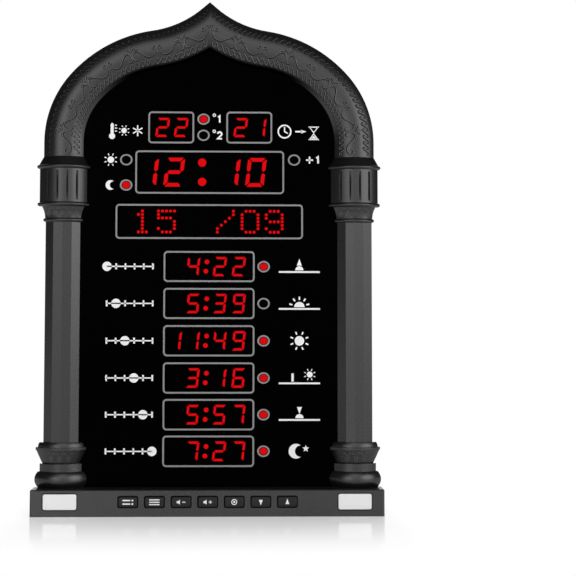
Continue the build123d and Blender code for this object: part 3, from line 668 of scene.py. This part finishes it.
# small clock, arrow and hourglass
clock_x, clock_z = 65.5 * MM, small_z - 3.2 * MM
head_marks.ring((clock_x, clock_z), 6.2 * MM, 1.3 * MM)
hands = [(clock_x, clock_z + 4.0 * MM), (clock_x, clock_z), (clock_x + 2.8 * MM, clock_z - 1.6 * MM)]
ribbon(head_marks, hands, 1.1 * MM)
head_marks.bar((clock_x + 9.5 * MM, clock_z), (clock_x + 15.5 * MM, clock_z), 1.5 * MM)
arrow_head(head_marks, (clock_x + 16.6 * MM, clock_z), 2.6 * MM, 0)
glass_x, glass_z = 91.2 * MM, small_z - 4.6 * MM
glass_half, glass_rise, wall_half, waist_rise = mm(4.6, 5.5, 3.7, 0.5)
for side in (-1, 1):
    rim_z = glass_z + side * glass_rise
    head_marks.bar((glass_x - glass_half, rim_z), (glass_x + glass_half, rim_z), 1.0 * MM)
    wall = [(glass_x - wall_half, rim_z), (glass_x, glass_z + side * waist_rise), (glass_x + wall_half, rim_z)]
    ribbon(head_marks, wall, 0.8 * MM)
heap_half, heap_foot, heap_top = mm(2.4, 4.7, 2.2)
heap_z = glass_z - heap_foot
head_marks.plate([(glass_x - heap_half, heap_z), (glass_x + heap_half, heap_z), (glass_x, glass_z - heap_top)])
# the two units, the two half days and the summer hour
for number, height in enumerate(unit_z, start=1):
    head_marks.ring((3.6 * MM, height + 3.6 * MM), 1.5 * MM, 0.8 * MM, steps=16)
    numeral(head_marks, str(number), (8.4 * MM, height), 7.4 * MM, 1.5 * MM)
half_day_mark_x, summer_mark_x, plus_reach = mm(-87.0, 87.5, 3.1)
sun(head_marks, (half_day_mark_x, half_day_z[0]), 2.9 * MM)
crescent(head_marks, (half_day_mark_x, half_day_z[1]), 4.3 * MM)
for tip_x, tip_z in ((plus_reach, 0.0), (0.0, plus_reach)):
    start = (summer_mark_x - tip_x, summer_z - tip_z)
    head_marks.bar(start, (summer_mark_x + tip_x, summer_z + tip_z), 1.4 * MM)
numeral(head_marks, "1", (summer_mark_x + 7.5 * MM, summer_z), 7.4 * MM, 1.6 * MM)
link("head_marks", head_marks.mesh, white_ink)

# painted shade: near-black bands on the floors of the gaps round the two plates, darkening them as shadow would
gap_shade_reach, gap_shade_depth, gap_shade_drop, plate_corner = mm(0.8, 1.1, 0.1, 1.7)
for node in ("blank_plate_left", "blank_plate_right"):
    low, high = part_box(node)
    outer_low = (low.x - gap_shade_reach, low.z - gap_shade_reach)
    outer_high = (high.x + gap_shade_reach, high.z + gap_shade_reach)
    gap_shade = Inlay(base_front_y + gap_shade_depth, gap_shade_depth - gap_shade_drop)
    gap_shade.band(
        rounded_rectangle(outer_low, outer_high, plate_corner + gap_shade_reach),
        rounded_rectangle((low.x, low.z), (high.x, high.z), plate_corner),
    )
    link(f"seam_{node.split('_')[-1]}", gap_shade.mesh, painted_shadow_plastic)


# ------ push buttons
def skin(builder, sections):
    """Closed skin through sections of as many points, first and last capped."""
    for first, second in zip(sections, sections[1:]):
        for i in range(len(first)):
            j = (i + 1) % len(first)
            builder.faces.new((first[i], first[j], second[j], second[i]))
    builder.faces.new(sections[0][::-1])
    builder.faces.new(sections[-1])


cap_face_drop = 0.15 * MM        # the marks fill this depth up to the front of the frame
cap_round, cap_corner = mm(1.1, 1.6)
cap_shrink = 0.35 * MM           # the cap is this much smaller than its plain block
flange_lap, flange_thickness, flange_corner = mm(1.2, 1.2, 0.4)


def key_cap(number):
    """Rounded cap over its retaining flange, in the place of the plain one."""
    low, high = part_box(f"button_{number}")
    flange_front = high.y - flange_thickness
    face_y = low.y + cap_face_drop
    side_inset = flange_lap + cap_shrink
    sections = [(0.0, y, flange_corner) for y in (high.y, flange_front)]
    sections.append((side_inset, flange_front, cap_corner))
    for step in range(7):
        angle = radians(90 * step / 6)
        inset = side_inset + cap_round * (1 - cos(angle))
        sections.append((inset, face_y + cap_round * (1 - sin(angle)), cap_corner))
    builder = bmesh.new()
    rings = []
    for inset, y, corner in sections:
        shape = rounded_rectangle((low.x + inset, low.z + inset), (high.x - inset, high.z - inset), corner)
        rings.append([builder.verts.new((x, y, z)) for x, z in shape])
    skin(builder, rings)
    piece = link(f"key_cap_{number}", builder, button_plastic, f"button_{number}", True)
    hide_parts(f"button_{number}")
    return face_y


def speaker_sign(art, centre, plus):
    x, z = centre
    horn = [(-3.6, -0.9), (-2.4, -0.9), (-0.9, -2.2), (-0.9, 2.2), (-2.4, 0.9), (-3.6, 0.9)]
    art.plate([(x + across * MM, z + up * MM) for across, up in horn])
    art.bar((x + 0.9 * MM, z), (x + 3.7 * MM, z), 0.7 * MM)
    if plus:
        art.bar((x + 2.3 * MM, z - 1.4 * MM), (x + 2.3 * MM, z + 1.4 * MM), 0.7 * MM)


def key_mark(art, number, centre):
    x, z = centre
    if number == 1:
        for line_z in (z - 1.5 * MM, z + 1.5 * MM):
            art.bar((x - 4.4 * MM, line_z), (x + 2.2 * MM, line_z), 1.1 * MM)
            art.disc((x + 4.0 * MM, line_z), 0.8 * MM, 12)
    elif number == 2:
        for line_z in (z - 2.0 * MM, z, z + 2.0 * MM):
            art.bar((x - 4.4 * MM, line_z), (x + 4.4 * MM, line_z), 0.9 * MM)
    elif number in (3, 4):
        speaker_sign(art, centre, number == 4)
    elif number == 5:
        art.ring(centre, 2.5 * MM, 0.7 * MM, steps=20)
        art.disc(centre, 0.9 * MM, 12)
    else:
        side = 1 if number == 7 else -1
        arrow_head(art, (x, z + side * 0.2 * MM), 2.6 * MM, side * 90)


for number in range(1, button_count + 1):
    face_y = key_cap(number)
    sign = Inlay(face_y, 0.1 * MM)
    key_mark(sign, number, centre_of(f"button_{number}"))
    link(f"key_mark_{number}", sign.mesh, white_ink, f"button_{number}")


# ------ raised ornament
# the painted shadow strips stand this far out of the surface
painted_shadow_rise = 0.05 * MM

tube_radius = hypot(tube_half, column_setback)
axis_y = panel_y + column_setback
arch_half_width = arch_high.x
spring_z = arch_low.z + stilt_height
shoulder_run = arch_half_width - shoulder_radius + shoulder_radius * cos(radians(shoulder_angle))
reverse_run = reverse_radius * (cos(radians(haunch_angle)) - cos(radians(tip_angle)))
haunch_radius = (shoulder_run + reverse_run - tip_run) / (cos(radians(shoulder_angle)) - cos(radians(haunch_angle)))
shoulder_centre = (arch_half_width - shoulder_radius, spring_z)
haunch_centre = turned(shoulder_centre, shoulder_radius - haunch_radius, shoulder_angle)
reverse_centre = turned(haunch_centre, haunch_radius + reverse_radius, haunch_angle)


# centre, radius, first and last angle of each arc of the right half's centre line
centre_arcs = (
    (shoulder_centre, shoulder_radius - tube_half, 0.0, shoulder_angle),
    (haunch_centre, haunch_radius - tube_half, shoulder_angle, haunch_angle),
    (reverse_centre, -reverse_radius - tube_half, haunch_angle, 360.0),
)


def on_centre_line(distance):
    """Point of the right half's centre line and the angle of its outward direction."""
    if distance < stilt_height:
        return (arch_half_width - tube_half, arch_low.z + distance), 0.0
    distance -= stilt_height
    for centre, radius, first, last in centre_arcs:
        angle = first + degrees(distance / radius)
        if angle < last:
            return turned(centre, radius, angle), angle
        distance -= radius * radians(last - first)


def arch_surface(side):
    """Maps a run along the arch and a girth from its crown line, outward, to the tube's surface."""

    def place(along, girth, lift):
        (x, z), angle = on_centre_line(along)
        turn = girth / tube_radius
        across = (tube_radius + lift) * sin(turn)
        x, z = turned((x, z), across, angle)
        return Vector((side * x, axis_y - (tube_radius + lift) * cos(turn), z))

    return place


def column_surface(side, low_z, high_z, radii):
    """Maps a girth from the column's front line and a height to a turned surface; radii are low, mid, high."""
    axis_x = side * (column_low.x + column_high.x) / 2

    def place(girth, rise, lift):
        share = rise / (high_z - low_z)
        low, mid, high = radii
        radius = low * (1 - share) * (1 - 2 * share) + 4 * mid * share * (1 - share) + high * share * (2 * share - 1)
        turn = girth / mid
        reach = radius + lift
        return Vector((axis_x + reach * sin(turn), axis_y - reach * cos(turn), low_z + rise))

    return place


ridge_sink = 0.15 * MM           # ridges are closed this far below the surface
end_share, end_growth = 0.35, 2.4     # a ridge's size at its ends, and its growth from there


def ridges(name, strokes, surfaces, half_width, height, finish=relief_painted_highlight):
    """Low rounded ridges along flat strokes, laid over each surface and closed below it."""
    shoulder = 0.6
    side = shoulder * height
    profile = ((-1.0, -ridge_sink), (-shoulder, side), (0.0, height), (shoulder, side), (1.0, -ridge_sink))
    builder = bmesh.new()
    for place in surfaces:
        for stroke in strokes:
            last = len(stroke) - 1
            sections = []
            for i, (u, v) in enumerate(stroke):
                before, after = stroke[max(i - 1, 0)], stroke[min(i + 1, last)]
                along = Vector((after[0] - before[0], after[1] - before[1])).normalized()
                taper = min(1.0, end_share + end_growth * min(i, last - i) / len(stroke))
                section = []
                for share, lift in profile:
                    offset = share * half_width * taper
                    rise = lift * taper if lift > 0 else lift
                    section.append(builder.verts.new(place(u - along.y * offset, v + along.x * offset, rise)))
                sections.append(section)
            skin(builder, sections)
    link(name, builder, finish)


def carved(name, strokes, surfaces, half_width, height):
    """Ridges, each with a thin near-black strip of painted shadow laid beside it along its inner side."""
    ridges(name, strokes, surfaces, half_width, height)
    shaded = [[(u, v - 1.5 * half_width) for u, v in stroke] for stroke in strokes]
    ridges(f"{name}_painted_shadow", shaded, surfaces, 1.4 * half_width, painted_shadow_rise, painted_shadow_plastic)


def spiral(centre, start_radius, end_radius, start_angle, turns, spacing=0.7 * MM):
    """Curl that winds inward; negative turns wind clockwise."""
    length = pi * (start_radius + end_radius) * abs(turns)
    steps = max(8, ceil(length / spacing))
    points = []
    for i in range(steps + 1):
        share = i / steps
        radius = start_radius * (end_radius / start_radius) ** share
        points.append(turned(centre, radius, start_angle + 360 * turns * share))
    return points


def bend(start, control, end, steps=9):
    """Quadratic curve between two points."""
    points = []
    for i in range(steps + 1):
        t = i / steps
        weights = ((1 - t) ** 2, 2 * t * (1 - t), t * t)
        points.append(tuple(sum(w * p[k] for w, p in zip(weights, (start, control, end))) for k in (0, 1)))
    return points


def leaf(base, length, half_width):
    """Upright pointed leaf: two sides and a rib."""
    def out(along, across):
        return base[0] - across * half_width, base[1] + along * length

    sides = [bend(base, out(0.45, side * 2), out(1, 0)) for side in (-1, 1)]
    return sides + [bend(out(0.15, 0), out(0.5, 0), out(0.8, 0), 5)]


mitre_gap, least_points = 1.2 * MM, 5


def trimmed(strokes, surface):
    """Drops what would cross the arch's mitre."""
    kept = []
    for stroke in strokes:
        inside = [point for point in stroke if surface(*point, 0.0).x > mitre_gap]
        if len(inside) >= least_points:
            kept.append(inside)
    return kept


sides = (1, "right"), (-1, "left")
arches = [arch_surface(side) for side, hand in sides]
right_arch = arches[0]
relief_start, relief_end = mm(3, 236)
first_motif, motif_pitch, motif_girth = mm(23, 46.5, 0.8)
motif_count = 4
# all in millimetres along and across the tube, from the point where two scrolls meet
SCROLL = (
    (3.9, -5.4), (4.4, -6.9), (3.1, -7.9), (1.4, -7.2), (0.7, -4.8), (1.4, -1.8), (3.6, 0.1),
    (6.5, -0.8), (9.2, -3.2), (12.0, -6.1), (15.5, -7.5), (19.0, -6.6), (21.8, -4.2),
)
FOOT_CURL = ((-15.5, -7.5), (-18.6, -7.0), (-20.4, -4.8), (-19.6, -2.4), (-17.4, -2.3), (-16.6, -3.9))
SPROUTS = (
    ((0.4, 0.6), (1.6, 2.6), (4.2, 3.9)),
    ((-0.4, 0.6), (-1.2, 3.0), (-3.6, 4.8)),
    ((0.0, 1.8), (0.3, 4.2), (0.0, 6.6)),
    ((-2.4, 0.8), (-4.4, 1.4), (-6.6, 0.6)),
    ((2.6, 1.4), (4.6, 1.5), (6.6, 0.7)),
)
LINK = (
    (2.3, 0.5), (3.3, 0.9), (3.2, 2.2), (1.9, 2.4), (0.0, 0.0),
    (-1.9, -2.4), (-3.2, -2.2), (-3.3, -0.9), (-2.3, -0.5),
)


def through(points, origin, steps=3, flip_u=1, flip_v=1):
    """Smooth curve through points given in millimetres from the origin."""
    placed = [(origin[0] + flip_u * u * MM, origin[1] + flip_v * v * MM) for u, v in points]
    ends = [placed[0]] + placed + [placed[-1]]
    curve = []
    for a, b, c, d in zip(ends, ends[1:], ends[2:], ends[3:]):
        for step in range(steps):
            t = step / steps
            point = []
            for k in (0, 1):
                square = 2 * a[k] - 5 * b[k] + 4 * c[k] - d[k]
                cube = 3 * b[k] - a[k] - 3 * c[k] + d[k]
                point.append(0.5 * (2 * b[k] + (c[k] - a[k]) * t + square * t * t + cube * t ** 3))
            curve.append(tuple(point))
    return curve + [placed[-1]]


def small_curl(u, v, side):
    """One of two small curls on a shared stem."""
    curl = spiral(mm(-2.7, 0.3), 2.1 * MM, 0.9 * MM, -35, 0.95, 0.5 * MM)
    stem = bend(mm(-0.3, -4.6), mm(0.3, -2.4), curl[0], 5)
    return [(u + side * along, v + across) for along, across in stem[:-1] + curl]


scrolls = []
for motif in range(motif_count):
    meeting = (first_motif + motif * motif_pitch, motif_girth)
    for side in (1, -1):
        scrolls.append(through(SCROLL, meeting, flip_u=side))
        scrolls.append(small_curl(meeting[0] + motif_pitch / 2, meeting[1] - 0.5 * MM, side))
    scrolls += [through(sprout, meeting) for sprout in SPROUTS]
scrolls.append(through(FOOT_CURL, (first_motif, motif_girth)))
carved("arch_scrolls", trimmed(scrolls, right_arch), arches, 0.50 * MM, 0.42 * MM)

inner_chain, outer_chain = [], []
link_pitch, inner_girth, outer_girth, link_half_width = mm(5.0, -11.4, 10.2, 0.45)
for i in range(int((relief_end - relief_start) / link_pitch)):
    u = relief_start + (i + 0.5) * link_pitch
    inner_chain.append(through(LINK, (u, inner_girth), 2))
    outer_chain.append(through(LINK, (u, outer_girth), 2, flip_v=-1))
carved("arch_inner_chain", trimmed(inner_chain, right_arch), arches, link_half_width, 0.40 * MM)
outer_chain = trimmed(outer_chain, right_arch)
ridges("arch_outer_chain", outer_chain, arches, link_half_width, 0.35 * MM, frame_plastic)
# painted shadow: a wider near-black strip laid under the outer chain
ridges("arch_outer_chain_painted_shadow", outer_chain, arches, 1.0 * MM, painted_shadow_rise, painted_shadow_plastic)

# capital bells and foot tapers: name, lowest and highest place, half widths there and midway, pitch of the leaves
for name, low_z, high_z, halves, pitch in (
    ("bell", *mm(255.9, 266.1), mm(15.8, 16.5, 18.6), 6.4 * MM),
    ("taper", *mm(43.0, 54.8), mm(15.7, 18.45, 21.2), 7.4 * MM),
):
    radii = tuple(hypot(half, column_setback) for half in halves)
    rise = high_z - low_z
    fronds = []
    for step in range(-3, 4):
        if abs(step * pitch) + pitch / 2 > radii[1] * acos(column_setback / radii[0]):
            continue
        fronds += leaf((step * pitch, rise * 0.08), rise * 0.62, pitch * 0.2)
        for side in (-1, 1):
            curl_centre = (step * pitch + side * pitch * 0.30, rise * 0.76)
            fronds.append(spiral(curl_centre, pitch * 0.19, pitch * 0.07, 90 + side * 90, -side * 1.2, 0.35 * MM))
    for side, hand in sides:
        carved(f"{name}_leaves_{hand}", fronds, (column_surface(side, low_z, high_z, radii),), 0.30 * MM, 0.34 * MM)

# painted shade: near-black strips laid on the floors of the drums' flutes, darkening them as shadow would
drum_low_z, drum_high_z, drum_half, flute_floor, flute_gap, flute_half_width = mm(269.6, 299.1, 20.7, 1.3, 2.3, 0.9)
drum_radius = hypot(drum_half, column_setback) - flute_floor
flute_count, flute_pitch, flute_steps = 4, radians(17.2), 12
flute_run = drum_high_z - drum_low_z - 2 * flute_gap
flutes = []
for number in range(flute_count):
    girth = (number - (flute_count - 1) / 2) * flute_pitch * drum_radius
    flutes.append([(girth, flute_gap + flute_run * i / flute_steps) for i in range(flute_steps + 1)])
for side, hand in sides:
    drum = column_surface(side, drum_low_z, drum_high_z, (drum_radius,) * 3)
    ridges(f"flute_painted_shade_{hand}", flutes, (drum,), flute_half_width, 0.12 * MM, painted_shadow_plastic)


def sleeve(name, place, height, reaches, finish):
    """Thin closed skin over the front of a turned surface; reaches are its radii below, midway and above."""
    skin_rise, skin_sink = mm(0.12, 0.2)
    panel_gap, steps = radians(0.6), 24
    builder = bmesh.new()
    sections = []
    for step in range(steps + 1):
        section = []
        for share, lift in ((0.0, -skin_sink), (1.0, -skin_sink), (1.0, skin_rise), (0.0, skin_rise)):
            reach = reaches[0] + (reaches[2] - reaches[0]) * share
            half_turn = acos(column_setback / reach) - panel_gap
            girth = reaches[1] * half_turn * (2 * step / steps - 1)
            section.append(builder.verts.new(place(girth, height * share, lift)))
        sections.append(section)
    skin(builder, sections)
    link(name, builder, finish)


# matte cones between the drums and the arch
cone_low_z, cone_high_z, cone_half, cone_inset = mm(302.6, 309.7, 23.2, 1.4)
cone_reach = hypot(cone_half, column_setback) - cone_inset
cone_radii = (cone_reach, (cone_reach + tube_radius) / 2, tube_radius)
for side, hand in sides:
    cone = column_surface(side, cone_low_z, cone_high_z, cone_radii)
    sleeve(f"cone_skin_{hand}", cone, cone_high_z - cone_low_z, cone_radii, cone_matte)


# ------ floor, light and camera
def stage_floor():
    """Wide pale floor: shows shadow and a faint mirror image near the clock, plain white further off."""
    half = 12.0
    corners = ((-half, -half, 0), (half, -half, 0), (half, half, 0), (-half, half, 0))
    mesh = bpy.data.meshes.new("floor")
    mesh.from_pydata(corners, (), ((0, 1, 2, 3),))
    floor = bpy.data.objects.new("floor", mesh)
    scene.collection.objects.link(floor)
    material, tree, surface = shader("floor_white")
    feed(surface, {
        "Base Color": (0.92, 0.92, 0.92, 1), "Roughness": 0.12, "Specular IOR Level": 0.3,
        "Emission Color": (1, 1, 1, 1), "Emission Strength": 0.3,
    })
    plain = add(tree, "ShaderNodeEmission")
    shade = add(tree, "ShaderNodeBsdfDiffuse", Color=(0.5, 0.5, 0.5, 1))
    path = add(tree, "ShaderNodeLightPath")
    place = add(tree, "ShaderNodeTexCoord")
    split = add(tree, "ShaderNodeSeparateXYZ", Vector=place.outputs["Object"])
    away = add(tree, "ShaderNodeCombineXYZ")
    # distance from the clock's footprint, counted six times to its sides
    for axis, clock_edge, pace in (("X", 0.151, 6.0), ("Y", 0.023, 1.0)):
        distance = math_node(tree, "SUBTRACT", math_node(tree, "ABSOLUTE", split.outputs[axis]), clock_edge)
        distance = math_node(tree, "MULTIPLY", math_node(tree, "MAXIMUM", distance, 0.0), pace)
        feed(away, {axis: distance})
    length = add(tree, "ShaderNodeVectorMath")
    length.operation = "LENGTH"
    feed(length, {0: away.outputs[0]})
    # it turns white over a short reach as seen, and over a long one in mirror images
    reaches = (-0.02, 0.17), (-0.02, 1.6)
    as_seen, mirrored = (map_range(tree, length.outputs["Value"], reach) for reach in reaches)
    white_share = add(tree, "ShaderNodeMix", Factor=path.outputs["Is Glossy Ray"], A=as_seen, B=mirrored)
    seen = mix_shader(tree, white_share.outputs[0], surface.outputs[0], plain.outputs[0])
    whole = mix_shader(tree, path.outputs["Is Diffuse Ray"], seen, shade.outputs[0])
    feed(tree.nodes["Material Output"], {"Surface": whole})
    mesh.materials.append(material)


def heading(azimuth, elevation):
    """Direction from the clock; azimuth 0 is in front of it and 90 at its right."""
    across, up = radians(azimuth), radians(elevation)
    return Vector((sin(across) * cos(up), -cos(across) * cos(up), sin(up)))


def world_light(ambient, windows):
    """Studio tent: an even dim room with soft bright windows (direction, half angle, fade, brightness).

    The white backdrop fills the camera's view; what is clear or glossy shows it behind the clock.
    """
    world = bpy.data.worlds.new("studio")
    scene.world = world
    world.use_nodes = True
    tree = world.node_tree
    place = add(tree, "ShaderNodeTexCoord")

    def towards(direction, low, high, brightness):
        facing = add(tree, "ShaderNodeVectorMath")
        facing.operation = "DOT_PRODUCT"
        feed(facing, {0: place.outputs["Generated"], 1: direction})
        return map_range(tree, facing.outputs["Value"], (low, high), (0.0, brightness))

    total = ambient
    for direction, half_angle, fade, brightness in windows:
        low, high = cos(radians(half_angle + fade)), cos(radians(half_angle - fade))
        total = math_node(tree, "ADD", total, towards(direction, low, high, brightness))
    room = tree.nodes["Background"]
    feed(room, {"Color": (1, 1, 1, 1), "Strength": total})
    white = add(tree, "ShaderNodeBackground", Color=(1, 1, 1, 1))
    path = add(tree, "ShaderNodeLightPath")
    backdrop = towards(Vector((0, 1, 0)), 0.45, 0.75, 1.0)
    mirrored = math_node(tree, "MULTIPLY", path.outputs["Is Glossy Ray"], backdrop)
    seen = math_node(tree, "MAXIMUM", path.outputs["Is Camera Ray"], path.outputs["Is Transmission Ray"])
    white_share = math_node(tree, "MAXIMUM", seen, mirrored)
    sky = mix_shader(tree, white_share, room.outputs[0], white.outputs[0])
    feed(tree.nodes["World Output"], {"Surface": sky})


aim = Vector((0, -0.01, 0.22))


def softbox(name, azimuth, elevation, distance, size, power):
    """Area lamp that looks at the clock and lights it without a mirror image."""
    lamp = bpy.data.lights.new(name, "AREA")
    lamp.shape = "RECTANGLE"
    lamp.size, lamp.size_y = size
    lamp.energy = power
    fixture = bpy.data.objects.new(name, lamp)
    towards = heading(azimuth, elevation)
    fixture.location = aim + towards * distance
    fixture.rotation_mode = "QUATERNION"
    fixture.rotation_quaternion = towards.to_track_quat("Z", "Y")
    fixture.visible_glossy = False
    scene.collection.objects.link(fixture)


stage_floor()
world_light(0.06, (
    (heading(4, 17), 28, 9, 1.3),
    (heading(0, 30), 10, 6, 0.7),
    (heading(-23, 9), 13, 6, 2.0),
    (heading(47, 12), 18, 7, 4.0),
    (heading(165, 35), 24, 8, 1.5),
    (heading(-165, 35), 24, 8, 1.2),
))
softbox("fill", -20, 18, 1.4, (0.8, 0.8), 2.6)

camera_data = bpy.data.cameras.new("camera")
camera_data.lens = 71.52
camera_data.sensor_width = 36.0
camera_data.shift_x, camera_data.shift_y = 0.04635, -0.04215
camera = bpy.data.objects.new("camera", camera_data)
camera_x, camera_height, camera_distance = 0.0241, 0.16396, 1.0
camera.location = (camera_x, panel_y - camera_distance, camera_height)
yaw, pitch, roll = 1.239, 2.998, 0.073
turn = Matrix.Rotation(radians(-yaw), 3, "Z") @ Matrix.Rotation(radians(90 + pitch), 3, "X")
camera.rotation_mode = "QUATERNION"
camera.rotation_quaternion = (turn @ Matrix.Rotation(radians(roll), 3, "Z")).to_quaternion()
scene.collection.objects.link(camera)
scene.camera = camera
scene.view_settings.view_transform = "Standard"
